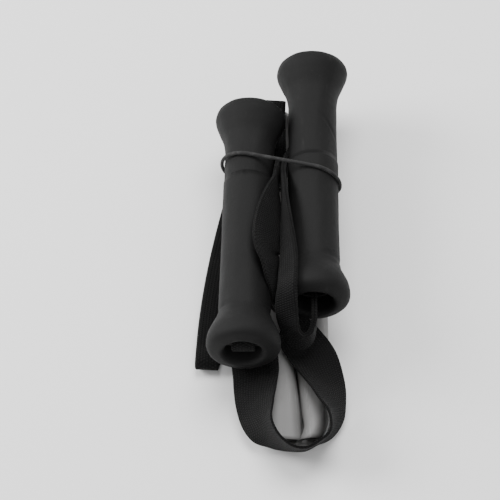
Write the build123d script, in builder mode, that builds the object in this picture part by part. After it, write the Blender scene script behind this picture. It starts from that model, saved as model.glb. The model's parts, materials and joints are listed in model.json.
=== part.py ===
"""Sock aid, tied up for storage: a rolled plastic gutter, two webbing pull straps and two foam handles.

Frame: millimetres, +Z up, +Y away from the front, +X to the right.
Origin: the centre of the flat underside of the rolled gutter, which lies on the table.
"""

import os
from math import cos, radians, sin

from build123d import *

# ---- driving dimensions -------------------------------------------------------------------------
# gutter: one plastic sheet, rolled in from both long edges
gutter_length = 204.0
sheet_thickness = 1.2
roll_height = 14.0  # outside height of each roll
roll_flat = 12.5  # flat base on each side of the middle
roll_turn_gap = 1.4  # room between two turns of a roll
valley_gap = 0.6  # room between the two rolls at the middle

# webbing
webbing_width = 25.4
webbing_thickness = 1.5
strap_layer = 1.6  # from a handle's axis to the middle of either layer of the strap in it

# handles
handle_length = 153.6
flare_radius = 19.5
grip_radius = 13.75
flare_at = 6.2  # the widest circle, measured from each mouth
flare_length = 19.0  # from the widest circle back to the plain grip
mouth_round = 2.0
tube_radius = 10.0  # outside of the core tube
tube_wall = 1.5
tube_clearance = 0.05  # radial room between the core tube and the foam
tube_setback = 10.3  # from each mouth to the end of the core tube
axis_height = 38.2
left_mouth = (-26.15, -70.7, axis_height)  # the end that the pin is at
left_direction = (0.0269, 1.0, 0.0)
right_mouth = (11.6, 113.8, axis_height)  # the end that the pin is at
right_direction = (0.0, -1.0, 0.0)

# retaining pins
pin_radius = 2.5
pin_inset = 0.7  # from each end of the pin to the outside of the core tube
pin_chamfer = 0.4
pin_gap = 0.1  # from the pin to the end of the core tube

# rivets that hold the straps to the gutter
rivet_radius = 2.0
rivet_clearance = 0.05
rivet_head_radius = 4.5
rivet_head_height = 1.1
rivet_from_end = 13.5  # from the strap's end
washer_radius = 3.2
washer_thickness = 0.8

# bar tacks, the sewn blocks that close the strap's loop round the pin
tack_length = 3.0
tack_height = 0.4
tack_inset = 1.0  # from each edge of the folded strap
tack_lift = 0.12  # from the strap's face
tack_spacing = 9.0
tack_first = 18.0  # from the pin to the first bar tack

# elastic tie
tie_radius = 1.0
tie_clearance = 0.35
tie_from_mouth = 40.3  # midway between the handles, from the left handle's far mouth
tie_slant = 12.5  # degrees that the tie slants across the handles
crimp_radius = 2.0
crimp_length = 7.0
crimp_clearance = 0.02
crimp_offset = -10.0  # from midway, along the tie

# ---- worked out from those ----------------------------------------------------------------------
folded_width = webbing_width / 2
folded_thickness = 2 * webbing_thickness
roll_radius = (roll_height - sheet_thickness) / 2
turn_step = sheet_thickness + roll_turn_gap
second_radius = roll_radius - turn_step / 2  # of the inner bend, beside the valley
inner_flat = valley_gap / 2 + sheet_thickness / 2 + second_radius  # where that bend starts, from the middle
rivet_x = (roll_flat + inner_flat) / 2
pin_length = 2 * (tube_radius - pin_inset)
gutter_plane = Plane(origin=(0, gutter_length / 2, 0), x_dir=(1, 0, 0), z_dir=(0, -1, 0))
tie_at = left_mouth[1] + handle_length - tie_from_mouth
left_axis_x = left_mouth[0] + left_direction[0] * (tie_at - left_mouth[1])  # where the tie crosses it
handle_separation = right_mouth[0] - left_axis_x
tie_middle = (left_axis_x + handle_separation / 2, tie_at, axis_height)


# ---- webbing straps -----------------------------------------------------------------------------
# Each station is the strap's middle point, the direction across it, and how far it is opened out:
# 0 is folded in half lengthwise and 1 is lying open at its full width.
def webbing(stations):
    """A flat strap lofted through hand-laid stations, with its sections square to its run."""
    with BuildPart() as strap:
        for i, (middle, across, opened) in enumerate(stations):
            before = Vector(*stations[max(i - 1, 0)][0])
            after = Vector(*stations[min(i + 1, len(stations) - 1)][0])
            here = Vector(*middle)
            into = (here - before).normalized() if i > 0 else (after - here).normalized()
            out = (after - here).normalized() if i < len(stations) - 1 else into
            along = (into + out).normalized()
            width = folded_width + opened * (webbing_width - folded_width)
            thickness = folded_thickness + opened * (webbing_thickness - folded_thickness)
            with BuildSketch(Plane(origin=here, x_dir=Vector(*across), z_dir=along)):
                Rectangle(width, thickness)
        loft(ruled=True)
    return strap


left_run = [
    ((-8.9, 106.5, 16.0), (-1, 0, 0), 0),
    ((-9.3, 100.5, 15.6), (-1, 0, 0), 0),
    ((-9.3, 91.5, 15.6), (-1, 0, 0), 0),
    ((-9.3, 85.5, 15.6), (-1, 0, 0), 0),
    ((-8.9, 73.5, 15.9), (-1, 0, 0.05), 0),
    ((-9.1, 63.5, 18.6), (-0.88, 0, 0.48), 0),
    ((-7.5, 53.5, 23.9), (-0.07, 0, 1), 0.15),
    ((-7.7, 46.5, 33.4), (0, 0, 1), 0.36),
    ((-8.1, 39.5, 36.2), (-0.05, 0, 1), 0.74),
    ((-7.6, 29.5, 38.2), (-0.17, 0, 0.985), 1),
    ((-8.8, 19.5, 43.0), (-0.44, 0, 0.9), 1),
    ((-11.0, 8.5, 46.3), (-0.59, 0, 0.81), 1),
    ((-13.2, -3.0, 48.6), (-0.58, 0, 0.815), 1),
    ((-14.0, -12.0, 49.0), (-0.55, 0, 0.83), 1),
    ((-10.9, -19.0, 45.6), (-0.45, 0, 0.89), 1),
    ((-8.9, -24.5, 38.2), (-0.22, 0, 0.975), 1),
    ((-8.4, -29.0, 31.0), (-0.12, 0, 0.99), 1),
    ((-8.6, -34.5, 26.8), (-0.28, 0, 0.96), 1),
    ((-5.0, -38.2, 24.0), (-0.6, 0, 0.8), 1),
    ((-0.8, -41.4, 21.0), (-0.9, 0, 0.81), 1),
    ((3.6, -47.5, 17.4), (-0.99, -0.05, 0.25), 1),
    ((9.4, -56.0, 16.9), (-0.99, -0.11, 0.05), 1),
    ((13.7, -64.6, 17.1), (-0.98, -0.13, 0.16), 1),
    ((18.3, -76.3, 16.8), (-0.74, -0.4, 0.54), 1),
    ((20.4, -86.3, 16.8), (-0.49, -0.53, 0.69), 1),
    ((22.2, -95.9, 16.2), (-0.28, -0.52, 0.81), 1),
    ((19.5, -106.1, 14.9), (-0.15, -0.52, 0.84), 1),
    ((12.3, -111.7, 14.6), (-0.04, -0.47, 0.88), 1),
    ((6.2, -115.4, 14.5), (0.04, -0.45, 0.89), 1),
    ((-1.3, -115.3, 15.4), (0.15, -0.43, 0.89), 1),
    ((-8.7, -111.9, 17.0), (0.32, -0.35, 0.88), 1),
    ((-14.4, -106.7, 18.4), (0.47, -0.29, 0.84), 1),
    ((-17.7, -99.1, 17.6), (0.62, -0.32, 0.72), 1),
    ((-19.5, -89.9, 16.4), (0.7, -0.33, 0.63), 1),
    ((-19.8, -78.1, 15.6), (0.87, -0.27, 0.41), 1),
    ((-19.3, -66.7, 16.4), (1, 0, 0.05), 1),
    ((-21.0, -54.5, 15.9), (1, 0, 0.03), 1),
    ((-25.1, -40.5, 13.6), (0.97, 0, 0.24), 0.45),
    ((-29.0, -26.5, 10.2), (1, 0, 0.1), 0.08),
    ((-30.0, -8.5, 7.8), (1, 0, 0), 0),
    ((-30.3, 7.5, 7.6), (1, 0, 0), 0),
    ((-30.4, 9.4, 6.9), (1, 0, 0), 0),
    ((-30.4, 10.2, 5.0), (1, 0, 0), 0),
    ((-30.4, 9.4, 3.1), (1, 0, 0), 0),
    ((-30.5, 7.5, 2.4), (1, 0, 0), 0),
    ((-32.0, -8.5, 2.3), (1, 0, 0), 0),
    ((-38.3, -34.5, 2.3), (1, 0, 0), 0),
    ((-44.7, -53.5, 2.3), (1, 0, -0.02), 0),
    ((-45.3, -56.0, 2.4), (1, 0, -0.05), 0),
    ((-45.6, -58.1, 3.4), (1, 0, -0.08), 0),
    ((-45.7, -59.0, 5.2), (1, 0, -0.12), 0),
    ((-45.7, -58.1, 7.1), (1, 0, -0.16), 0),
    ((-45.6, -56.0, 8.2), (0.98, 0, -0.2), 0),
    ((-44.2, -36.5, 9.0), (0.98, 0, -0.2), 0),
    ((-41.8, -16.5, 9.8), (0.98, 0, -0.18), 0),
    ((-38.2, 5.5, 10.9), (0.99, 0, -0.14), 0),
    ((-33.3, 28.5, 12.6), (1, 0, -0.08), 0),
    ((-27.0, 53.5, 14.7), (1, 0, 0), 0),
    ((-22.7, 74.5, 16.0), (1, 0, 0), 0),
    ((-22.0, 83.0, 16.2), (1, 0, 0), 0),
    ((-22.0, 88.5, 17.7), (1, 0, 0), 0),
    ((-22.0, 92.5, 21.7), (1, 0, 0), 0),
    ((-22.0, 94.0, 27.2), (1, 0, 0), 0),
    ((-22.0, 92.5, 32.7), (1, 0, 0), 0),
    ((-22.0, 88.5, 36.7), (1, 0, 0), 0),
    ((-22.1, 83.0, 38.2), (1, 0, 0), 0),
    ((-24.1, 6.1, 38.2), (1, 0, 0), 0),
    ((-24.8, -20.5, 38.2), (1, 0, 0), 0),
    ((-25.1, -32.5, 36.6), (1, 0, 0), 0),
    ((-25.7, -52.5, 36.5), (1, 0, 0), 0),
    ((-25.9, -59.0, 34.6), (1, 0, 0), 0),
    ((-26.0, -63.0, 33.8), (1, 0, 0), 0),
    ((-26.0, -66.1, 35.1), (1, 0, 0), 0),
    ((-26.1, -67.4, 38.2), (1, 0, 0), 0),
    ((-26.0, -66.1, 41.3), (1, 0, 0), 0),
    ((-26.0, -63.0, 42.6), (1, 0, 0), 0),
    ((-25.9, -59.0, 41.8), (1, 0, 0), 0),
    ((-25.7, -52.5, 39.9), (1, 0, 0), 0),
    ((-25.2, -35.5, 39.8), (1, 0, 0), 0),
]

right_run = [
    ((9.4, 106.5, 15.9), (-1, 0, 0), 0),
    ((9.4, 100.5, 15.6), (-1, 0, 0), 0),
    ((9.4, 91.5, 15.6), (-1, 0, 0), 0),
    ((9.4, 85.5, 15.6), (-1, 0, 0), 0),
    ((7.5, 77.5, 15.9), (-1, 0, 0.05), 0),
    ((3.4, 69.5, 18.4), (-0.85, 0, 0.5), 0),
    ((-1.6, 61.5, 22.5), (-0.22, 0, 0.97), 0),
    ((-4.0, 51.5, 29.8), (0, 0, 1), 0),
    ((-4.6, 40.5, 38.4), (0, 0, 1), 0),
    ((-4.2, 29.5, 44.5), (0.03, 0, 1), 0),
    ((-3.9, 17.5, 48.5), (0.1, 0, 1), 0),
    ((-3.3, 3.5, 50.3), (0.32, 0, 0.94), 0),
    ((-2.5, -8.5, 51.0), (0.5, 0, 0.86), 0),
    ((-2.2, -20.5, 53.0), (0.66, 0, 0.75), 0),
    ((-2.6, -32.5, 55.0), (0.75, 0, 0.66), 0),
    ((-3.2, -40.5, 54.0), (0.7, 0.15, 0.69), 0),
    ((-3.5, -47.0, 47.5), (0.45, 0.45, 0.77), 0),
    ((-2.7, -52.5, 40.0), (0.2, 0.4, 0.9), 0),
    ((0.0, -57.3, 33.8), (0, 0.25, 0.97), 0),
    ((4.5, -59.5, 30.4), (0, 0.1, 1), 0),
    ((9.3, -56.9, 30.6), (0, 0, 1), 0),
    ((11.4, -51.0, 33.6), (0, -0.05, 1), 0),
    ((11.6, -44.5, 37.0), (0, -0.1, 1), 0),
    ((11.6, -36.5, 38.2), (0, 0, 1), 0),
    ((11.6, 3.5, 38.2), (0, 0, 1), 0),
    ((11.6, 65.5, 38.2), (0, 0, 1), 0),
    ((10.0, 77.5, 38.2), (0, 0, 1), 0),
    ((9.9, 95.5, 38.2), (0, 0, 1), 0),
    ((8.1, 102.1, 38.2), (0, 0, 1), 0),
    ((7.3, 106.1, 38.2), (0, 0, 1), 0),
    ((8.6, 109.1, 38.2), (0, 0, 1), 0),
    ((11.6, 110.4, 38.2), (0, 0, 1), 0),
    ((14.6, 109.1, 38.2), (0, 0, 1), 0),
    ((15.9, 106.1, 38.2), (0, 0, 1), 0),
    ((15.1, 102.1, 38.2), (0, 0, 1), 0),
    ((13.3, 95.5, 38.2), (0, 0, 1), 0),
    ((13.2, 77.5, 38.2), (0, 0, 1), 0),
]


def rivet_place(run, side, height):
    """Where a strap's rivet crosses the given height, above the flat top of its roll."""
    return (side * rivet_x, run[0][0][1] - rivet_from_end, height)


# ---- gutter -------------------------------------------------------------------------------------
def roll_line(side):
    """The middle line of one roll, from the middle of the base: out, up, in, down and round again."""
    base = sheet_thickness / 2
    top = roll_height - base
    inner_base = top - 2 * second_radius
    core_radius = second_radius - turn_step / 2
    outer = side * roll_flat
    inner = side * inner_flat
    Line((0, base), (outer, base))
    ThreePointArc((outer, base), (outer + side * roll_radius, roll_height / 2), (outer, top))
    Line((outer, top), (inner, top))
    ThreePointArc((inner, top), (inner - side * second_radius, top - second_radius), (inner, inner_base))
    Line((inner, inner_base), (outer, inner_base))
    ThreePointArc(
        (outer, inner_base),
        (outer + side * core_radius, inner_base + core_radius),
        (outer, inner_base + 2 * core_radius),
    )


with BuildPart() as gutter_shell:
    for side in (-1, 1):
        with BuildSketch(gutter_plane):
            with BuildLine():
                roll_line(side)
            trace(line_width=sheet_thickness)
        extrude(amount=gutter_length)
    with Locations(rivet_place(left_run, -1, roll_height), rivet_place(right_run, 1, roll_height)):
        Cylinder(rivet_radius + rivet_clearance, 2 * sheet_thickness, mode=Mode.SUBTRACT)


def riveted(run, side):
    """The strap along its run, with its end pierced where its rivet goes through."""
    with BuildPart() as pierced:
        add(webbing(run).part)
        with Locations(rivet_place(run, side, run[0][0][2])):
            Cylinder(rivet_radius + rivet_clearance, 2 * folded_thickness, mode=Mode.SUBTRACT)
    return pierced


# ---- rivets -------------------------------------------------------------------------------------
def rivet(run, side):
    """A domed rivet through the strap's end and the gutter, clenched under its washer."""
    seat = run[0][0][2] + folded_thickness / 2
    tip = roll_height - sheet_thickness - washer_thickness
    with BuildPart() as piece:
        with Locations(rivet_place(run, side, tip)):
            Cylinder(rivet_radius, seat - tip, align=(Align.CENTER, Align.CENTER, Align.MIN))
        with Locations(rivet_place(run, side, seat)):
            Cylinder(rivet_head_radius, rivet_head_height, align=(Align.CENTER, Align.CENTER, Align.MIN))
        fillet(piece.edges().sort_by(Axis.Z)[-1], rivet_head_height * 0.8)
    return piece


def rivet_washer(run, side):
    """The flat washer inside the roll, under the sheet."""
    with BuildPart() as piece:
        with Locations(rivet_place(run, side, roll_height - sheet_thickness)):
            Cylinder(washer_radius, washer_thickness, align=(Align.CENTER, Align.CENTER, Align.MAX))
            Cylinder(
                rivet_radius + rivet_clearance,
                washer_thickness,
                align=(Align.CENTER, Align.CENTER, Align.MAX),
                mode=Mode.SUBTRACT,
            )
    return piece


# ---- handles ------------------------------------------------------------------------------------
def foam_grip(mouth, direction):
    """A foam sleeve with a round flare at each end and one plain bore."""
    along = Vector(*direction).normalized()
    radial = Vector(0, 0, 1)
    bore = tube_radius + tube_clearance
    lip = bore + mouth_round
    shoulder = lip + 0.64 * (flare_radius - lip)
    neck = flare_at + flare_length
    middle = handle_length / 2
    with BuildPart() as piece:
        with BuildSketch(Plane(origin=mouth, x_dir=radial, z_dir=radial.cross(along))):
            with BuildLine():
                Line((bore, middle), (bore, mouth_round))
                ThreePointArc(
                    (bore, mouth_round),
                    (bore + mouth_round * (1 - cos(radians(45))), mouth_round * (1 - sin(radians(45)))),
                    (lip, 0),
                )
                ThreePointArc((lip, 0), (shoulder, 0.3 * flare_at), (flare_radius, flare_at))
                Bezier(
                    (flare_radius, flare_at),
                    (flare_radius, flare_at + 0.35 * flare_length),
                    (grip_radius, flare_at + 0.4 * flare_length),
                    (grip_radius, neck),
                )
                Line((grip_radius, neck), (grip_radius, middle))
                Line((grip_radius, middle), (bore, middle))
            make_face()
        revolve(axis=Axis(mouth, tuple(along)))
        mirror(about=Plane(origin=Vector(*mouth) + along * middle, z_dir=along))
    return piece


def core_tube(mouth, direction):
    """The stiff tube inside the foam."""
    along = Vector(*direction).normalized()
    with BuildPart() as piece:
        with BuildSketch(Plane(origin=Vector(*mouth) + along * tube_setback, z_dir=along)):
            Circle(tube_radius)
            Circle(tube_radius - tube_wall, mode=Mode.SUBTRACT)
        extrude(amount=handle_length - 2 * tube_setback)
    return piece


def square_to(along, across):
    """The direction nearest to across that is square to along."""
    across = Vector(*across)
    return (across - along * across.dot(along)).normalized()


def retaining_pin(mouth, direction, across):
    """The cross pin that the strap's loop goes round, bearing on the end of the core tube."""
    along = Vector(*direction).normalized()
    centre = Vector(*mouth) + along * (tube_setback - pin_gap - pin_radius)
    across = square_to(along, across)
    with BuildPart() as piece:
        with BuildSketch(Plane(origin=centre - across * (pin_length / 2), z_dir=across)):
            Circle(pin_radius)
        extrude(amount=pin_length)
        chamfer(piece.edges(), pin_chamfer)
    return piece


def bar_tacks(mouth, direction, across):
    """Rows of thread on both faces of the doubled strap, inside the core tube."""
    along = Vector(*direction).normalized()
    across = square_to(along, across)
    normal = along.cross(across)
    face_at = strap_layer + folded_thickness / 2 + tack_lift
    pin = Vector(*mouth) + along * (tube_setback - pin_gap - pin_radius)
    with BuildPart() as piece:
        for face in (-1, 1):
            for row in (0, 1):
                at = pin + along * (tack_first + row * tack_spacing) + normal * (face * face_at)
                with BuildSketch(Plane(origin=at, x_dir=across, z_dir=normal * face)):
                    Rectangle(folded_width - 2 * tack_inset, tack_length)
                extrude(amount=tack_height)
    return piece


# ---- elastic tie --------------------------------------------------------------------------------
tie_turn = grip_radius / cos(radians(tie_slant)) + tie_clearance + tie_radius
tie_across = Vector(cos(radians(tie_slant)), -sin(radians(tie_slant)), 0)
tie_normal = Vector(sin(radians(tie_slant)), cos(radians(tie_slant)), 0)
tie_span = handle_separation / cos(radians(tie_slant))
tie_path_start = (-tie_span / 2, tie_turn)

with BuildPart() as elastic_tie:
    with BuildLine() as tie_path:
        with BuildLine(Plane(origin=tie_middle, x_dir=tie_across, z_dir=tie_normal)):
            Line(tie_path_start, (tie_span / 2, tie_turn))
            ThreePointArc((tie_span / 2, tie_turn), (tie_span / 2 + tie_turn, 0), (tie_span / 2, -tie_turn))
            Line((tie_span / 2, -tie_turn), (-tie_span / 2, -tie_turn))
            ThreePointArc((-tie_span / 2, -tie_turn), (-tie_span / 2 - tie_turn, 0), tie_path_start)
    with BuildSketch(Plane(origin=tie_path.line @ 0, z_dir=tie_path.line % 0)):
        Circle(tie_radius)
    sweep(path=tie_path.line)

crimp_centre = Vector(*tie_middle) + Vector(0, 0, -tie_turn) + tie_across * crimp_offset
with BuildPart() as tie_crimp:
    with BuildSketch(Plane(origin=crimp_centre - tie_across * (crimp_length / 2), z_dir=tie_across)):
        Circle(crimp_radius)
        Circle(tie_radius + crimp_clearance, mode=Mode.SUBTRACT)
    extrude(amount=crimp_length)

# ---- write every piece --------------------------------------------------------------------------
pieces = {
    "gutter_shell": gutter_shell,
    "left_strap": riveted(left_run, -1),
    "right_strap": riveted(right_run, 1),
    "left_rivet": rivet(left_run, -1),
    "right_rivet": rivet(right_run, 1),
    "left_rivet_washer": rivet_washer(left_run, -1),
    "right_rivet_washer": rivet_washer(right_run, 1),
    "left_foam_grip": foam_grip(left_mouth, left_direction),
    "right_foam_grip": foam_grip(right_mouth, right_direction),
    "left_core_tube": core_tube(left_mouth, left_direction),
    "right_core_tube": core_tube(right_mouth, right_direction),
    "left_retaining_pin": retaining_pin(left_mouth, left_direction, (1, 0, 0)),
    "right_retaining_pin": retaining_pin(right_mouth, right_direction, (0, 0, 1)),
    "left_bar_tacks": bar_tacks(left_mouth, left_direction, (1, 0, 0)),
    "right_bar_tacks": bar_tacks(right_mouth, right_direction, (0, 0, 1)),
    "elastic_tie": elastic_tie,
    "tie_crimp": tie_crimp,
}
os.makedirs("parts", exist_ok=True)
for name, piece in pieces.items():
    piece.part.label = name
    export_step(piece.part, f"parts/{name}.step")
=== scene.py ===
"""Looks of the tied-up sock aid: rolled gutter, two webbing straps, two foam handles and an elastic tie.

Metres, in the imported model's own frame: +Z up, +Y away from the front, origin under the rolled gutter.
"""

import json
import math

import bpy
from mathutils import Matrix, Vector
from mathutils.noise import noise


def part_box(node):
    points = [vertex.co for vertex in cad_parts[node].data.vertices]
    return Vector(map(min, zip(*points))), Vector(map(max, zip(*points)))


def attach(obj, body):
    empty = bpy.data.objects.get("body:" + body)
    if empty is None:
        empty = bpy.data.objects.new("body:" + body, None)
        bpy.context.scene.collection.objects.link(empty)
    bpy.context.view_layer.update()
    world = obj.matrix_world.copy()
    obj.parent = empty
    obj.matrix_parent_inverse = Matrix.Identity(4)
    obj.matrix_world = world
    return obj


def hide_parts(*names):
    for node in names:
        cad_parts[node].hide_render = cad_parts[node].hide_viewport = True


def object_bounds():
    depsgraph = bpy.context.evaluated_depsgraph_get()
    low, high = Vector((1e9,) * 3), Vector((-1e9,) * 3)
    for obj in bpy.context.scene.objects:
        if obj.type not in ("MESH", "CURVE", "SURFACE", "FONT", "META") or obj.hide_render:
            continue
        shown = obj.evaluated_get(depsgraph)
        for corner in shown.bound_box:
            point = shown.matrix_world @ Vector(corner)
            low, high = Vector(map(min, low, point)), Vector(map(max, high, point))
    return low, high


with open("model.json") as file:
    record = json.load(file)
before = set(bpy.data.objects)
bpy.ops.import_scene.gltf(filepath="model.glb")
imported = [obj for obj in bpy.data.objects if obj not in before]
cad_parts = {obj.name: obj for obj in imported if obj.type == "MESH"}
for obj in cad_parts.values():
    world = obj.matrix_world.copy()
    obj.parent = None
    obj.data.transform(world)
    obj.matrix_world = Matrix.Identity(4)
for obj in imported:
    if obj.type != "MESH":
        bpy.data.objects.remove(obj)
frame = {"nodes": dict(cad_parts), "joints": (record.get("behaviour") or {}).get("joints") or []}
cad_low, cad_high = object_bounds()
nodes = frame["nodes"]
joints = {joint["name"]: joint for joint in frame["joints"]}
MM = 0.001


# ---- finishes -----------------------------------------------------------------------------------
class Value:
    """A number that changes over a surface. Arithmetic on it adds the Math nodes."""

    def __init__(self, finish, socket):
        self.finish = finish
        self.socket = socket

    def math(self, operation, *others):
        inputs = dict(enumerate((self, *others)))
        return self.finish.node("ShaderNodeMath", {"operation": operation}, inputs)

    def __add__(self, other):
        return self.math("ADD", other)

    def __sub__(self, other):
        return self.math("SUBTRACT", other)

    def __rsub__(self, other):
        return self.finish.node("ShaderNodeMath", {"operation": "SUBTRACT"}, {0: other, 1: self})

    def __mul__(self, other):
        return self.math("MULTIPLY", other)

    def __truediv__(self, other):
        return self.math("DIVIDE", other)

    __radd__ = __add__
    __rmul__ = __mul__

    def between(self, low, high):
        """0 below low and 1 above high, easing from one to the other."""
        settings = {"interpolation_type": "SMOOTHSTEP"}
        inputs = {"Value": self, "From Min": low, "From Max": high}
        return self.finish.node("ShaderNodeMapRange", settings, inputs)


class Finish:
    """One material: its Principled shader, the nodes added to it, and its slot in the record."""

    def __init__(self, name, slot, **constants):
        self.slot = slot
        self.material = bpy.data.materials.new(name)
        self.material.use_nodes = True
        self.tree = self.material.node_tree
        self.shader = self.tree.nodes["Principled BSDF"]
        for socket, value in constants.items():
            self.shader.inputs[socket.replace("_", " ")].default_value = value

    def node(self, kind, settings=None, inputs=None, output=0):
        """Adds a node, sets it up, feeds its sockets with values or links, and returns one output."""
        made = self.tree.nodes.new(kind)
        for key, value in (settings or {}).items():
            setattr(made, key, value)
        for key, value in (inputs or {}).items():
            if isinstance(value, Value):
                self.tree.links.new(value.socket, made.inputs[key])
            else:
                made.inputs[key].default_value = value
        return Value(self, made.outputs[output])

    def feed(self, socket, value):
        self.tree.links.new(value.socket, self.shader.inputs[socket])

    def place(self):
        return self.node("ShaderNodeTexCoord", output="Object")

    def stretched(self, place, scale):
        return self.node("ShaderNodeMapping", {}, {"Vector": place, "Scale": scale})

    def grain(self, place, scale, detail=2.0, roughness=0.5):
        inputs = {"Vector": place, "Scale": scale, "Detail": detail, "Roughness": roughness}
        return self.node("ShaderNodeTexNoise", {}, inputs)

    def cells(self, place, scale):
        return self.node("ShaderNodeTexVoronoi", {}, {"Vector": place, "Scale": scale}, "Distance")

    def blend(self, mask, low, high):
        """The colour low where the mask is 0 and high where it is 1."""
        inputs = {0: mask, 6: low, 7: high}
        return self.node("ShaderNodeMix", {"data_type": "RGBA"}, inputs, 2)

    def relief(self, height, depth):
        inputs = {"Height": height, "Distance": depth, "Strength": 1.0}
        self.feed("Normal", self.node("ShaderNodeBump", {}, inputs))


def grey(value, warm=0.0):
    """A grey, leaning warm or cool."""
    return (value * (1 + warm), value, value * (1 - warm), 1)


def foam_finish():
    """Skinned closed-cell foam: fine cells, soft mottling, a little dust and rubbed lips."""
    foam = Finish("black_grip_foam", "grip_foam", Specular_IOR_Level=0.16)
    place = foam.place()
    cells = foam.cells(place, 2200)
    pores = foam.grain(place, 5200, 1)
    mottle = foam.grain(place, 90, 4, 0.6)
    scuffs = foam.grain(foam.stretched(place, (240, 60, 240)), 1, 5, 0.7).between(0.6, 0.78)
    dust = foam.cells(place, 420).between(0.11, 0.05) * foam.grain(place, 45).between(0.52, 0.68)
    body = foam.blend(mottle, grey(0.0045), grey(0.0085))
    worn = foam.blend(scuffs * 0.5, body, grey(0.016, 0.03))
    foam.feed("Base Color", foam.blend(dust * 0.35, worn, grey(0.05, 0.05)))
    foam.feed("Roughness", 0.58 + mottle * 0.16 - scuffs * 0.12)
    foam.relief(cells * 0.7 + pores * 0.5 + mottle * 2.0, 0.12 * MM)
    return foam


def webbing_finish(name, base, tip):
    """Flat woven webbing. The UVs are millimetres along and across the strap."""
    cloth = Finish(name, "webbing", Sheen_Weight=0.03, Sheen_Roughness=0.4, Specular_IOR_Level=0.14)
    uv = cloth.node("ShaderNodeTexCoord", output="UV")
    along = cloth.node("ShaderNodeSeparateXYZ", {}, {0: uv}, "X")
    across = cloth.node("ShaderNodeSeparateXYZ", {}, {0: uv}, "Y")
    rib = across / 1.55
    side = rib.math("FLOOR").math("MODULO", 2.0)
    crown = (rib.math("FRACT") * math.pi).math("SINE")
    picks = ((along / 1.25 + side * 0.5 + crown * 0.22) * (2 * math.pi)).math("SINE") * 0.5 + 0.5
    yarn = picks * crown
    threads = cloth.grain(cloth.stretched(uv, (1.2, 9.0, 1.0)), 1, 3, 0.6)
    fuzz = cloth.grain(cloth.place(), 1500, 3, 0.7)
    mottle = cloth.grain(cloth.place(), 70, 3)
    specks = cloth.cells(cloth.place(), 300).between(0.07, 0.02)
    lint = specks * cloth.grain(cloth.place(), 60).between(0.55, 0.66)
    body = cloth.blend(yarn * 0.75 + threads * 0.35, grey(base), grey(tip))
    faded = cloth.blend(mottle.between(0.45, 0.8) * 0.5, body, grey(tip * 1.5, 0.02))
    cloth.feed("Base Color", cloth.blend(lint * 0.4, faded, grey(0.05)))
    cloth.feed("Roughness", 0.9 - yarn * 0.18)
    cloth.relief(yarn * 1.0 + threads * 0.35 + fuzz * 0.3, 0.35 * MM)
    return cloth


def gutter_finish():
    """Dull white flexible sheet, its colour painted down to grey as painted shade: faint flow lines, scuffs
    and stress-whitened bends.
    """
    sheet = Finish("dull_white_gutter_sheet", "gutter_plastic", Specular_IOR_Level=0.45)
    place = sheet.place()
    cloud = sheet.grain(place, 28, 3)
    flow = sheet.grain(sheet.stretched(place, (420, 18, 420)), 1, 4, 0.6)
    scratch = sheet.grain(sheet.stretched(place, (900, 70, 900)), 1, 2).between(0.64, 0.70)
    grime = sheet.grain(place, 160, 5, 0.7).between(0.58, 0.75)
    # The sheet's dull white is painted as a mid grey: painted shade for the shadow the sheet lies in.
    body = sheet.blend(cloud, grey(0.15, 0.01), grey(0.20, 0.015))
    marked = sheet.blend(scratch * 0.4, body, grey(0.27))
    sheet.feed("Base Color", sheet.blend(grime * 0.3, marked, grey(0.09, 0.06)))
    sheet.feed("Roughness", 0.42 + flow * 0.16 + grime * 0.2)
    sheet.relief(flow * 0.8 + cloud * 2.0 - scratch * 0.6, 0.08 * MM)
    return sheet


def tube_finish():
    """Extruded black tube with fine lines along it."""
    tube = Finish("black_core_tube", "tube_plastic")
    place = tube.place()
    lines = tube.grain(tube.stretched(place, (2500, 25, 2500)), 1, 3)
    tube.feed("Base Color", tube.blend(lines, grey(0.020), grey(0.034)))
    tube.feed("Roughness", 0.38 + lines * 0.2)
    tube.relief(lines, 0.05 * MM)
    return tube


def metal_finish(name, slot, tone, roughness, tarnish):
    """Worn metal with fine turning marks and dull patches."""
    metal = Finish(name, slot, Metallic=1.0)
    place = metal.place()
    marks = metal.grain(metal.stretched(place, (900, 900, 5200)), 1, 3)
    dull = metal.grain(place, 520, 4, 0.65).between(0.48, 0.7)
    metal.feed("Base Color", metal.blend(dull * tarnish, grey(tone, 0.01), grey(tone * 0.45, 0.05)))
    metal.feed("Roughness", roughness + marks * 0.14 + dull * 0.2)
    metal.relief(marks + dull * 0.6, 0.03 * MM)
    return metal


def thread_finish():
    """Bar-tack thread: close zigzag stitches side by side."""
    thread = Finish("bar_tack_thread", "sewing_thread", Sheen_Weight=0.3)
    place = thread.place()
    stitches = {"Vector": place, "Scale": 320, "Distortion": 1.2}
    lay = thread.node("ShaderNodeTexWave", {"bands_direction": "Y"}, stitches)
    thread.feed("Base Color", thread.blend(lay, grey(0.008), grey(0.045)))
    thread.feed("Roughness", 0.75 - lay * 0.2)
    thread.relief(lay, 0.2 * MM)
    return thread


def elastic_finish():
    """Covered elastic: the cover's threads catch the light, with grey dust between them."""
    cover = Finish("covered_elastic", "tie_elastic", Sheen_Weight=0.06, Specular_IOR_Level=0.25)
    place = cover.place()
    fibres = cover.grain(place, 3800, 3, 0.7)
    dust = cover.grain(place, 260, 4, 0.6).between(0.45, 0.7)
    cover.feed("Base Color", cover.blend(dust * 0.6 + fibres * 0.3, grey(0.010), grey(0.040)))
    cover.feed("Roughness", 0.7 + fibres * 0.2)
    cover.relief(fibres, 0.08 * MM)
    return cover


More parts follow.
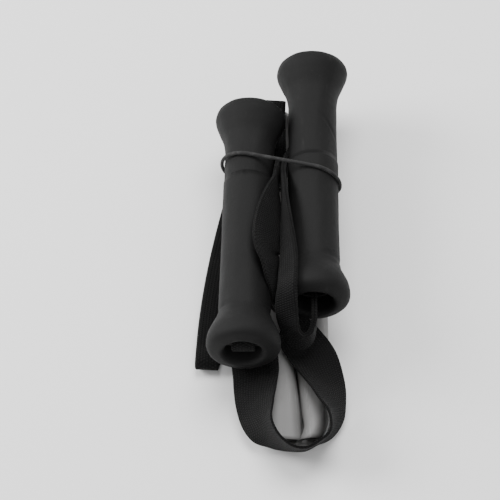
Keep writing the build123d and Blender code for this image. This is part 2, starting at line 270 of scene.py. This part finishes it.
grip_foam = foam_finish()
strap_webbing = webbing_finish("black_strap_webbing", 0.0018, 0.0065)
gutter_sheet = gutter_finish()
core_tube = tube_finish()
rivet_steel = metal_finish("plated_rivet_steel", "rivet_steel", 0.55, 0.28, 0.6)
pin_steel = metal_finish("blackened_pin_steel", "pin_steel", 0.03, 0.45, 0.5)
crimp_metal = metal_finish("pressed_crimp_metal", "crimp_metal", 0.36, 0.38, 0.8)
tack_thread = thread_finish()
tie_elastic = elastic_finish()


# ---- making a piece -----------------------------------------------------------------------------
def piece_from(name, rings, finish, body, replaced, closed_run=False, marks=None):
    """A mesh skinned over rings of points, which rides on a body in place of a CAD node.

    An open run of rings is capped at both ends, by strips between the two halves of the ring. Marks
    give each point's UVs.
    """
    count = len(rings[0])
    runs = len(rings) if closed_run else len(rings) - 1
    faces = []
    for i in range(runs):
        here = i * count
        there = (i + 1) % len(rings) * count
        for j in range(count):
            k = (j + 1) % count
            faces.append((here + j, here + k, there + k, there + j))
    if not closed_run:
        last = (len(rings) - 1) * count
        faces.append((0, count - 1, 1))
        faces.append((last, last + 1, last + count - 1))
        for j in range(1, count // 2):
            faces.append((j, count - j, count - j - 1, j + 1))
            faces.append((last + j, last + j + 1, last + count - j - 1, last + count - j))
    mesh = bpy.data.meshes.new(name)
    mesh.from_pydata([point for ring in rings for point in ring], [], faces)
    if marks:
        layer = mesh.uv_layers.new(name="strap_mm")
        flat = [mark for ring in marks for mark in ring]
        for loop in mesh.loops:
            layer.data[loop.index].uv = flat[loop.vertex_index]
    for i, polygon in enumerate(mesh.polygons):
        polygon.use_smooth = i < runs * count
    mesh.materials.append(finish.material)
    piece = bpy.data.objects.new(name, mesh)
    bpy.context.scene.collection.objects.link(piece)
    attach(piece, body)
    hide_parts(replaced)
    return piece


def smoothed(points, steps=6):
    """The points along a smooth curve that the given points steer."""
    curve = bpy.data.curves.new("guide", "CURVE")
    curve.dimensions = "3D"
    curve.resolution_u = steps
    spline = curve.splines.new("NURBS")
    spline.points.add(len(points) - 1)
    for control, point in zip(spline.points, points):
        control.co = (*point, 1)
    spline.order_u = 3
    spline.use_endpoint_u = True
    guide = bpy.data.objects.new("guide", curve)
    mesh = bpy.data.meshes.new_from_object(guide)
    line = [vertex.co.copy() for vertex in mesh.vertices]
    bpy.data.objects.remove(guide)
    bpy.data.curves.remove(curve)
    bpy.data.meshes.remove(mesh)
    return line


# ---- webbing straps -----------------------------------------------------------------------------
WEBBING_WIDTH = 25.4 * MM
FOLDED_WIDTH = WEBBING_WIDTH / 2
WEBBING_THICKNESS = 1.5 * MM

# Each station is the strap's middle in millimetres, the direction across it, and how far it is
# opened out: 0 is folded in half lengthwise and 1 is lying open.
LEFT_RUN = [
    ((-8.9, 106.5, 16.0), (-1, 0, 0), 0),
    ((-9.3, 100.5, 15.6), (-1, 0, 0), 0),
    ((-9.3, 91.5, 15.6), (-1, 0, 0), 0),
    ((-9.3, 85.5, 15.6), (-1, 0, 0), 0),
    ((-8.9, 73.5, 15.9), (-1, 0, 0.05), 0),
    ((-9.1, 63.5, 18.6), (-0.88, 0, 0.48), 0),
    ((-7.5, 53.5, 23.9), (-0.07, 0, 1), 0.15),
    ((-7.7, 46.5, 33.4), (0, 0, 1), 0.36),
    ((-8.1, 39.5, 36.2), (-0.05, 0, 1), 0.74),
    ((-7.6, 29.5, 38.2), (-0.17, 0, 0.985), 1),
    ((-8.8, 19.5, 43.0), (-0.44, 0, 0.9), 1),
    ((-11.0, 8.5, 46.3), (-0.59, 0, 0.81), 1),
    ((-13.2, -3.0, 48.6), (-0.58, 0, 0.815), 1),
    ((-14.0, -12.0, 49.0), (-0.55, 0, 0.83), 1),
    ((-10.9, -19.0, 45.6), (-0.45, 0, 0.89), 1),
    ((-8.9, -24.5, 38.2), (-0.22, 0, 0.975), 1),
    ((-8.4, -29.0, 31.0), (-0.12, 0, 0.99), 1),
    ((-8.6, -34.5, 26.8), (-0.28, 0, 0.96), 1),
    ((-5.0, -38.2, 24.0), (-0.6, 0, 0.8), 1),
    ((-0.8, -41.4, 21.0), (-0.9, 0, 0.81), 1),
    ((3.6, -47.5, 17.4), (-0.99, -0.05, 0.25), 1),
    ((9.4, -56.0, 16.9), (-0.99, -0.11, 0.05), 1),
    ((13.7, -64.6, 17.1), (-0.98, -0.13, 0.16), 1),
    ((18.3, -76.3, 16.8), (-0.74, -0.4, 0.54), 1),
    ((20.4, -86.3, 16.8), (-0.49, -0.53, 0.69), 1),
    ((22.2, -95.9, 16.2), (-0.28, -0.52, 0.81), 1),
    ((19.5, -106.1, 14.9), (-0.15, -0.52, 0.84), 1),
    ((12.3, -111.7, 14.6), (-0.04, -0.47, 0.88), 1),
    ((6.2, -115.4, 14.5), (0.04, -0.45, 0.89), 1),
    ((-1.3, -115.3, 15.4), (0.15, -0.43, 0.89), 1),
    ((-8.7, -111.9, 17.0), (0.32, -0.35, 0.88), 1),
    ((-14.4, -106.7, 18.4), (0.47, -0.29, 0.84), 1),
    ((-17.7, -99.1, 17.6), (0.62, -0.32, 0.72), 1),
    ((-19.5, -89.9, 16.4), (0.7, -0.33, 0.63), 1),
    ((-19.8, -78.1, 15.6), (0.87, -0.27, 0.41), 1),
    ((-19.3, -66.7, 16.4), (1, 0, 0.05), 1),
    ((-21.0, -54.5, 15.9), (1, 0, 0.03), 1),
    ((-25.1, -40.5, 13.6), (0.97, 0, 0.24), 0.45),
    ((-29.0, -26.5, 10.2), (1, 0, 0.1), 0.08),
    ((-30.0, -8.5, 7.8), (1, 0, 0), 0),
    ((-30.3, 7.5, 7.6), (1, 0, 0), 0),
    ((-30.4, 9.4, 6.9), (1, 0, 0), 0),
    ((-30.4, 10.2, 5.0), (1, 0, 0), 0),
    ((-30.4, 9.4, 3.1), (1, 0, 0), 0),
    ((-30.5, 7.5, 2.4), (1, 0, 0), 0),
    ((-32.0, -8.5, 2.3), (1, 0, 0), 0),
    ((-38.3, -34.5, 2.3), (1, 0, 0), 0),
    ((-44.7, -53.5, 2.3), (1, 0, -0.02), 0),
    ((-45.3, -56.0, 2.4), (1, 0, -0.05), 0),
    ((-45.6, -58.1, 3.4), (1, 0, -0.08), 0),
    ((-45.7, -59.0, 5.2), (1, 0, -0.12), 0),
    ((-45.7, -58.1, 7.1), (1, 0, -0.16), 0),
    ((-45.6, -56.0, 8.2), (0.98, 0, -0.2), 0),
    ((-44.2, -36.5, 9.0), (0.98, 0, -0.2), 0),
    ((-41.8, -16.5, 9.8), (0.98, 0, -0.18), 0),
    ((-38.2, 5.5, 10.9), (0.99, 0, -0.14), 0),
    ((-33.3, 28.5, 12.6), (1, 0, -0.08), 0),
    ((-27.0, 53.5, 14.7), (1, 0, 0), 0),
    ((-22.7, 74.5, 16.0), (1, 0, 0), 0),
    ((-22.0, 83.0, 16.2), (1, 0, 0), 0),
    ((-22.0, 88.5, 17.7), (1, 0, 0), 0),
    ((-22.0, 92.5, 21.7), (1, 0, 0), 0),
    ((-22.0, 94.0, 27.2), (1, 0, 0), 0),
    ((-22.0, 92.5, 32.7), (1, 0, 0), 0),
    ((-22.0, 88.5, 36.7), (1, 0, 0), 0),
    ((-22.1, 83.0, 38.2), (1, 0, 0), 0),
    ((-24.1, 6.1, 38.2), (1, 0, 0), 0),
    ((-24.8, -20.5, 38.2), (1, 0, 0), 0),
    ((-25.1, -32.5, 36.6), (1, 0, 0), 0),
    ((-25.7, -52.5, 36.5), (1, 0, 0), 0),
    ((-25.9, -59.0, 34.6), (1, 0, 0), 0),
    ((-26.0, -63.0, 33.8), (1, 0, 0), 0),
    ((-26.0, -66.1, 35.1), (1, 0, 0), 0),
    ((-26.1, -67.4, 38.2), (1, 0, 0), 0),
    ((-26.0, -66.1, 41.3), (1, 0, 0), 0),
    ((-26.0, -63.0, 42.6), (1, 0, 0), 0),
    ((-25.9, -59.0, 41.8), (1, 0, 0), 0),
    ((-25.7, -52.5, 39.9), (1, 0, 0), 0),
    ((-25.2, -35.5, 39.8), (1, 0, 0), 0),
]

RIGHT_RUN = [
    ((9.4, 106.5, 15.9), (-1, 0, 0), 0),
    ((9.4, 100.5, 15.6), (-1, 0, 0), 0),
    ((9.4, 91.5, 15.6), (-1, 0, 0), 0),
    ((9.4, 85.5, 15.6), (-1, 0, 0), 0),
    ((7.5, 77.5, 15.9), (-1, 0, 0.05), 0),
    ((3.4, 69.5, 18.4), (-0.85, 0, 0.5), 0),
    ((-1.6, 61.5, 22.5), (-0.22, 0, 0.97), 0),
    ((-4.0, 51.5, 29.8), (0, 0, 1), 0),
    ((-4.6, 40.5, 38.4), (0, 0, 1), 0),
    ((-4.2, 29.5, 44.5), (0.03, 0, 1), 0),
    ((-3.9, 17.5, 48.5), (0.1, 0, 1), 0),
    ((-3.3, 3.5, 50.3), (0.32, 0, 0.94), 0),
    ((-2.5, -8.5, 51.0), (0.5, 0, 0.86), 0),
    ((-2.2, -20.5, 53.0), (0.66, 0, 0.75), 0),
    ((-2.6, -32.5, 55.0), (0.75, 0, 0.66), 0),
    ((-3.2, -40.5, 54.0), (0.7, 0.15, 0.69), 0),
    ((-3.5, -47.0, 47.5), (0.45, 0.45, 0.77), 0),
    ((-2.7, -52.5, 40.0), (0.2, 0.4, 0.9), 0),
    ((0.0, -57.3, 33.8), (0, 0.25, 0.97), 0),
    ((4.5, -59.5, 30.4), (0, 0.1, 1), 0),
    ((9.3, -56.9, 30.6), (0, 0, 1), 0),
    ((11.4, -51.0, 33.6), (0, -0.05, 1), 0),
    ((11.6, -44.5, 37.0), (0, -0.1, 1), 0),
    ((11.6, -36.5, 38.2), (0, 0, 1), 0),
    ((11.6, 3.5, 38.2), (0, 0, 1), 0),
    ((11.6, 65.5, 38.2), (0, 0, 1), 0),
    ((10.0, 77.5, 38.2), (0, 0, 1), 0),
    ((9.9, 95.5, 38.2), (0, 0, 1), 0),
    ((8.1, 102.1, 38.2), (0, 0, 1), 0),
    ((7.3, 106.1, 38.2), (0, 0, 1), 0),
    ((8.6, 109.1, 38.2), (0, 0, 1), 0),
    ((11.6, 110.4, 38.2), (0, 0, 1), 0),
    ((14.6, 109.1, 38.2), (0, 0, 1), 0),
    ((15.9, 106.1, 38.2), (0, 0, 1), 0),
    ((15.1, 102.1, 38.2), (0, 0, 1), 0),
    ((13.3, 95.5, 38.2), (0, 0, 1), 0),
    ((13.2, 77.5, 38.2), (0, 0, 1), 0),
]


def strap_section(half, thick, slit):
    """Points round the strap's section, from the bottom of the slit between its two layers.

    Each point is its place across, its height, and its way round the section in millimetres.
    """
    crack = 0.06 * MM
    top = thick / 2
    round_edge = min(0.42 * (thick - 2 * crack) / 2, 0.55 * MM)
    upper = [(half - slit, 0), (half - 0.5 * round_edge, crack)]
    for angle in (-60, -10, 40, 90):
        turn = math.radians(angle)
        middle = (crack + top) / 2
        lift = (top - crack) / 2
        upper.append((half - round_edge * (1 - math.cos(turn)), middle + lift * math.sin(turn)))
    for share in (0.8, 0.55, 0.3, 0.05, -0.2, -0.45, -0.7, -0.86):
        upper.append((half * share, top * (1 + 0.03 * math.cos(share * 3))))
    for angle in (70, 40, 12):
        turn = math.radians(angle)
        upper.append((-half + 0.8 * top * (1 - math.cos(turn)), top * math.sin(turn)))
    lower = [(across, -height) for across, height in reversed(upper[1:])]
    outline = upper + lower
    way = [0.0]
    for a, b in zip(outline, outline[1:]):
        way.append(way[-1] + math.dist(a, b) / MM)
    return [(across, height, at) for (across, height), at in zip(outline, way)]


def strap(side, run):
    """A webbing strap along its stations: woven ribbon where it is open, two layers where folded."""
    middles = [Vector(middle) * MM for middle, across, opened in run]
    halves = []
    for middle, across, opened in run:
        width = FOLDED_WIDTH + opened * (WEBBING_WIDTH - FOLDED_WIDTH)
        halves.append(Vector(across).normalized() * (width / 2))
    line = smoothed(middles)
    edge = smoothed([middle + half for middle, half in zip(middles, halves)])
    openings = smoothed([(opened, 0, 0) for middle, across, opened in run])
    rings = []
    marks = []
    travelled = 0.0
    for i, (centre, rim, opened) in enumerate(zip(line, edge, openings)):
        before = line[max(i - 1, 0)]
        after = line[min(i + 1, len(line) - 1)]
        travelled += (centre - before).length / MM
        along = (after - before).normalized()
        out = rim - centre
        half = out.length
        normal = along.cross(out).normalized()
        out = normal.cross(along)
        thick = WEBBING_THICKNESS * (2 - opened.x)
        slit = 0.25 * MM + (1 - opened.x) * (2 * half - 1.6 * MM)
        ripple = 0.22 * MM * opened.x * noise(Vector((travelled * 0.045, 3.1, 0.0)))
        ring = []
        mark = []
        for across, height, way in strap_section(half, thick, slit):
            wander = noise(Vector((travelled * 0.06, across / half, 7.7)))
            flutter = opened.x * (across / half) * wander * 0.35 * MM
            ring.append(centre + out * across + normal * (height + ripple + flutter))
            mark.append((travelled, way))
        rings.append(ring)
        marks.append(mark)
    name = f"{side}_pull_strap"
    piece = piece_from(name, rings, strap_webbing, "gutter_and_straps", f"{side}_strap", marks=marks)


strap("left", LEFT_RUN)
strap("right", RIGHT_RUN)


# ---- foam handles -------------------------------------------------------------------------------
def bump(x, middle, width):
    return math.exp(-(((x - middle) / width) ** 2))


def turned(name, origin, axis, profile, finish, body, replaced, around=96, shaped=None):
    """A closed profile of (along, radius) in millimetres turned round an axis.

    shaped(along, radius, angle) returns the radius after dents and unevenness.
    """
    up = Vector((0, 0, 1))
    across = axis.cross(up).normalized()
    up = across.cross(axis)
    rings = []
    for i in range(around):
        angle = 2 * math.pi * i / around
        out = across * math.cos(angle) + up * math.sin(angle)
        ring = []
        for along, radius in profile:
            if shaped:
                radius = shaped(along, radius, angle)
            ring.append(origin + (axis * along + out * radius) * MM)
        rings.append(ring)
    return piece_from(name, rings, finish, body, replaced, closed_run=True)


def eased(stops, step=1.25):
    """Points along a smooth outline through (along, radius) stops."""
    outline = []
    for i in range(len(stops) - 1):
        before = stops[max(i - 1, 0)]
        start, end = stops[i], stops[i + 1]
        after = stops[min(i + 2, len(stops) - 1)]
        pieces = max(2, round(math.dist(start, end) / step))
        for k in range(pieces):
            t = k / pieces
            point = []
            for a, b, c, d in zip(before, start, end, after):
                cubic = 3 * (b - c) + d - a
                point.append(b + 0.5 * t * (c - a + t * (2 * a - 5 * b + 4 * c - d + t * cubic)))
            outline.append(tuple(point))
    outline.append(stops[-1])
    return outline


def foam_handle(side, ball, trumpet, step_at, dents):
    """One foam sleeve: a ball at the front mouth, a slight taper, and a trumpet at the far mouth.

    step_at is where the sleeve steps down, and each dent is a crease between two (along, angle) ends.
    """
    node = nodes[f"{side}_foam_grip"]
    joint = joints[f"{side}_grip_spin"]
    middle = Vector(joint["pos_m"])
    axis = Vector(joint["axis"]).normalized()
    if axis.y < 0:
        axis = -axis
    reach = [(vertex.co - middle).dot(axis) for vertex in node.data.vertices]
    front = middle + axis * min(reach)
    length = (max(reach) - min(reach)) / MM
    bore = 10.05
    outer = eased(
        [
            (0.0, 12.6),
            (0.4, 14.8),
            (1.5, 0.905 * ball),
            (3.6, 0.98 * ball),
            (6.6, ball),
            (11.0, 0.96 * ball),
            (15.5, 0.86 * ball),
            (19.5, 0.765 * ball),
            (22.6, 14.15),
            (24.4, 13.55),
            (27.0, 13.85),
            (34.0, 13.8),
            (68.0, 13.6),
            (step_at - 2.5, 13.6),
            (step_at + 1.0, 13.15),
            (length - 34.0, 13.2),
            (length - 26.0, 13.35),
            (length - 19.0, 14.5),
            (length - 12.5, 0.5 * (14.9 + trumpet)),
            (length - 7.0, trumpet - 0.15),
            (length - 4.4, trumpet),
            (length - 1.8, 0.955 * trumpet),
            (length - 0.4, 0.85 * trumpet),
            (length, 12.6),
        ]
    )
    far_lip = [(length - 0.45, 11.2), (length - 2.0, bore)]
    front_lip = [(2.0, bore), (0.45, 11.1)]
    profile = outer + far_lip + [(0.5 * length, bore)] + front_lip

    def shaped(along, radius, angle):
        if radius < bore + 0.6:
            return radius
        soft = noise(Vector((along * 0.05, 2.2 * math.cos(angle), 2.2 * math.sin(angle))))
        fine = noise(Vector((along * 0.35, 5 * math.cos(angle), 5 * math.sin(angle) + 9)))
        radius += 0.28 * soft + 0.06 * fine
        for (start, start_angle), (end, end_angle), depth, width in dents:
            share = (along - start) / (end - start)
            if -0.3 < share < 1.3:
                line = math.radians(start_angle + share * (end_angle - start_angle))
                apart = math.atan2(math.sin(angle - line), math.cos(angle - line)) * radius
                ends = bump(share, 0.5, 0.62)
                radius -= depth * ends * (bump(apart, 0, width) - 0.55 * bump(apart, 1.5 * width, width))
        return radius

    name = f"{side}_handle_foam"
    turned(name, front, axis, profile, grip_foam, f"{side}_grip", f"{side}_foam_grip", shaped=shaped)


foam_handle(
    "left",
    ball=19.9,
    trumpet=18.9,
    step_at=107.0,
    dents=[((104.0, 60), (105.5, 170), 0.35, 1.0), ((110.5, 20), (108.0, 120), 0.25, 0.9)],
)
foam_handle(
    "right",
    ball=19.3,
    trumpet=19.2,
    step_at=90.0,
    dents=[((113.0, 64), (102.0, 20), 0.55, 1.3), ((28.0, 30), (25.0, 120), 0.3, 1.0)],
)


# ---- rolled gutter ------------------------------------------------------------------------------
ROLL_POINTS = 72
SHEET_THICKNESS = 1.2  # millimetres
TURN_STEP = 1.3  # from one turn of the roll to the next inside it, in millimetres
VALLEY_GAP = 0.9  # from the middle of the valley to each roll, in millimetres


def arc(centre, radius, start, end, count=14):
    points = []
    for i in range(count + 1):
        turn = math.radians(start + (end - start) * i / count)
        points.append((centre[0] + radius * math.cos(turn), centre[1] + radius * math.sin(turn)))
    return points


def steps_between(start, end, count):
    """The points that part a straight line into equal steps, without its two ends."""
    points = []
    for i in range(1, count):
        points.append(tuple(a + (b - a) * i / count for a, b in zip(start, end)))
    return points


def roll_line(half_width, height, sheet, shift, ease, length):
    """Points and their way along the sheet's middle line, in millimetres, out from the middle of its base.

    shift moves the valley's bend outwards, ease lets the inmost turn spring open, and length is how
    much of the sheet is left there, from its middle to its cut edge.
    """
    radius = (height - sheet) / 2
    flat = half_width - sheet / 2 - radius
    turn = radius - TURN_STEP
    core = turn - TURN_STEP + ease
    inner = min(VALLEY_GAP + turn + shift, flat)
    top = height - sheet / 2
    base = top - 2 * turn
    line = [(0, sheet / 2)] + steps_between((0, sheet / 2), (flat, sheet / 2), 8)
    line += arc((flat, height / 2), radius, -90, 90)
    line += steps_between((flat, top), (inner, top), 6)
    line += arc((inner, top - turn), turn, 90, 270)
    line += steps_between((inner, base), (flat, base), 6)
    line += arc((flat, base + core), core, -90, 80)
    ways = [0.0]
    for a, b in zip(line, line[1:]):
        ways.append(ways[-1] + math.dist(a, b))
    points = []
    k = 0
    for i in range(ROLL_POINTS + 1):
        way = min(length, ways[-1]) * i / ROLL_POINTS
        while k < len(ways) - 2 and ways[k + 1] < way:
            k += 1
        share = (way - ways[k]) / max(ways[k + 1] - ways[k], 1e-6)
        x = line[k][0] + share * (line[k + 1][0] - line[k][0])
        z = line[k][1] + share * (line[k + 1][1] - line[k][1])
        points.append((x, z, way))
    return points


def gutter():
    """The sheet rolled in from both long edges.

    Towards the front its rounded corners leave less of it to roll, so the rolls draw in, the valley
    drifts aside, and the tops of the rolls reach furthest.
    """
    low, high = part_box("gutter_shell")
    half_width = high.x / MM
    height = high.z / MM
    sheet = SHEET_THICKNESS
    reach = 2.6 * MM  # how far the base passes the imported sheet's own front
    stations = 96
    rings = []
    for i in range(stations + 1):
        share = i / stations
        y = low.y - reach + (high.y - low.y + reach) * share
        front = max(0.0, 1 - share / 0.30)
        corner = max(0.0, 1 - share / 0.065)
        drift = 5.4 * front**0.9 + 0.25 * math.sin(share * 17)
        rear = bump(share, 1, 0.05)
        taper = 5.4 * corner**1.8
        cut = 75 - 33 * front**0.8 - 3 * corner
        left = roll_line(half_width - taper, height, sheet, -drift, 0.2 * rear, cut + 1.5 * drift)
        right = roll_line(half_width - 0.9 * taper, height, sheet, drift, 0.15 * rear, cut - 1.3 * drift)
        line = [(-x, z, way) for x, z, way in reversed(left[1:])] + right
        outer = []
        inner = []
        for k, (x, z, way) in enumerate(line):
            ahead = line[min(k + 1, len(line) - 1)]
            behind = line[max(k - 1, 0)]
            run = Vector((ahead[0] - behind[0], ahead[1] - behind[1])).normalized() * (sheet / 2)
            wave = 0.12 * noise(Vector((x * 0.08, y / MM * 0.03, z * 0.1))) * min(1.0, z / 3)
            lean = 4.4 * z / height * max(0.0, 1 - (x / 19) ** 2)
            back = y + (3 * max(0.0, way / 25 - 2) - lean) * corner * MM
            outer.append(Vector(((x + run.y) * MM, back, (z - run.x + wave) * MM)))
            inner.append(Vector(((x - run.y) * MM, back, (z + run.x + wave) * MM)))
        tip = (outer[0] + inner[0]) / 2 + (inner[0] - outer[0]).cross(Vector((0, 1, 0))) * 0.3
        rings.append([tip] + outer + inner[::-1])
    return piece_from("rolled_gutter", rings, gutter_sheet, "gutter_and_straps", "gutter_shell")


gutter()


# ---- elastic tie --------------------------------------------------------------------------------
TIE_RADIUS = 1.0 * MM
TIE_SLANT = math.radians(12.5)
TIE_SQUEEZE = 0.5 * MM  # how far it sinks in below the plain sleeve
CRIMP_OFFSET = -10 * MM

tie_low, tie_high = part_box("elastic_tie")
tie_middle = (tie_low + tie_high) / 2
tie_across = Vector((math.cos(TIE_SLANT), -math.sin(TIE_SLANT), 0))
tie_cad_turn = (tie_high.z - tie_low.z) / 2 - TIE_RADIUS
tie_span = ((tie_high.x - tie_low.x) / 2 - TIE_RADIUS) / math.cos(TIE_SLANT) - tie_cad_turn
tie_turn = tie_cad_turn - TIE_SQUEEZE


def tie_point(share):
    """A point on the tie's loop, from midway over the top and clockwise seen from the front."""
    bend = math.pi * tie_turn
    way = share * (4 * tie_span + 2 * bend)
    if way < tie_span:
        flat, height = way, tie_turn
    elif way < tie_span + bend:
        turn = (way - tie_span) / tie_turn
        flat, height = tie_span + tie_turn * math.sin(turn), tie_turn * math.cos(turn)
    elif way < 3 * tie_span + bend:
        flat, height = 2 * tie_span + bend - way, -tie_turn
    elif way < 3 * tie_span + 2 * bend:
        turn = (way - 3 * tie_span - bend) / tie_turn
        flat, height = -tie_span - tie_turn * math.sin(turn), -tie_turn * math.cos(turn)
    else:
        flat, height = way - 4 * tie_span - 2 * bend, tie_turn
    return tie_middle + tie_across * flat + Vector((0, 0, height))


def braided_tie():
    """The covered elastic, with its cover's strands crossing over each other."""
    count = 540
    loop = [tie_point(i / count) for i in range(count)]
    level = tie_across.cross(Vector((0, 0, 1)))
    rings = []
    for i, centre in enumerate(loop):
        along = (loop[(i + 1) % count] - loop[i - 1]).normalized()
        out = along.cross(level)
        ring = []
        for j in range(20):
            angle = 2 * math.pi * j / 20
            twist = 2 * math.pi * 60 * i / count
            strands = math.cos(4 * angle + twist) * math.cos(4 * angle - twist)
            thick = TIE_RADIUS * (0.97 + 0.07 * strands)
            ring.append(centre + (out * math.cos(angle) + level * math.sin(angle)) * thick)
        rings.append(ring)
    piece_from("braided_elastic_tie", rings, tie_elastic, "tie", "elastic_tie", closed_run=True)


def pressed_crimp():
    """The sleeve that joins the tie's two ends, with two pressed waists."""
    low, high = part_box("tie_crimp")
    length = ((high - low).dot(Vector((math.cos(TIE_SLANT), math.sin(TIE_SLANT), 0)))) / MM * 0.93
    centre = tie_middle + Vector((0, 0, -tie_turn)) + tie_across * CRIMP_OFFSET
    wall = [(0.0, 1.35), (0.15, 1.7), (0.55, 1.98)]
    steps = 22
    for i in range(steps + 1):
        wall.append((0.7 + (length - 1.4) * i / steps, 2.0))
    wall += [(length - 0.55, 1.98), (length - 0.15, 1.7), (length, 1.35), (length - 0.3, 1.08), (0.3, 1.08)]

    def shaped(along, radius, angle):
        pressed = bump(along, 0.32 * length, 0.7) + bump(along, 0.68 * length, 0.7)
        return radius if radius < 1.2 else radius * (1 - 0.16 * pressed * math.cos(angle) ** 2)

    start = centre - tie_across * (length * MM / 2)
    name = "pressed_tie_crimp"
    turned(name, start, tie_across, wall, crimp_metal, "tie", "tie_crimp", around=40, shaped=shaped)


braided_tie()
pressed_crimp()


# ---- pieces kept as they are, in their own finishes ---------------------------------------------
KEPT = {
    core_tube: ["left_core_tube", "right_core_tube"],
    pin_steel: ["left_retaining_pin", "right_retaining_pin"],
    rivet_steel: ["left_rivet", "right_rivet", "left_rivet_washer", "right_rivet_washer"],
    tack_thread: ["left_bar_tacks", "right_bar_tacks"],
}
for finish, names in KEPT.items():
    for name in names:
        for slot in nodes[name].material_slots:
            slot.material = finish.material


# ---- floor, light and camera --------------------------------------------------------------------
def floor():
    bpy.ops.mesh.primitive_plane_add(size=6, location=(0, 0, cad_low.z - 0.1 * MM))
    plane = bpy.context.object
    plane.name = "pale_floor"
    pale = Finish("pale_floor", None, Base_Color=(0.9, 0.9, 0.9, 1), Roughness=0.75, Specular_IOR_Level=0.2)
    plane.data.materials.append(pale.material)


def soft_light(name, place, size, watts, aim=(0, 0, 0.02)):
    lamp = bpy.data.lights.new(name, "AREA")
    lamp.shape = "DISK"
    lamp.size = size
    lamp.energy = watts
    holder = bpy.data.objects.new(name, lamp)
    holder.location = place
    holder.rotation_mode = "QUATERNION"
    holder.rotation_quaternion = (Vector(aim) - Vector(place)).to_track_quat("-Z", "Y")
    bpy.context.scene.collection.objects.link(holder)


def studio():
    world = bpy.data.worlds.new("pale_room")
    world.use_nodes = True
    world.node_tree.nodes["Background"].inputs["Color"].default_value = (1, 1, 1, 1)
    world.node_tree.nodes["Background"].inputs["Strength"].default_value = 0.8
    bpy.context.scene.world = world
    soft_light("window_left", (-1.2, 0.25, 0.8), 0.8, 22)
    soft_light("overhead", (0.1, 0.5, 1.6), 1.1, 26)


CAMERA_ELEVATION = 57  # degrees
VIEW_WIDTH = 0.27  # at the point aimed at


def camera():
    """Looks down on the front, from far enough to be nearly square-on."""
    aim = Vector((-22.5, 6.0, 20.0)) * MM
    elevation = math.radians(CAMERA_ELEVATION)
    back = Vector((0, -math.cos(elevation), math.sin(elevation)))
    lens = bpy.data.cameras.new("camera")
    lens.lens = 300
    lens.sensor_width = 36
    lens.clip_end = 20
    holder = bpy.data.objects.new("camera", lens)
    holder.location = aim + back * (VIEW_WIDTH * lens.lens / lens.sensor_width)
    holder.rotation_mode = "QUATERNION"
    holder.rotation_quaternion = (-back).to_track_quat("-Z", "Y")
    bpy.context.scene.collection.objects.link(holder)
    bpy.context.scene.camera = holder


floor()
studio()
camera()
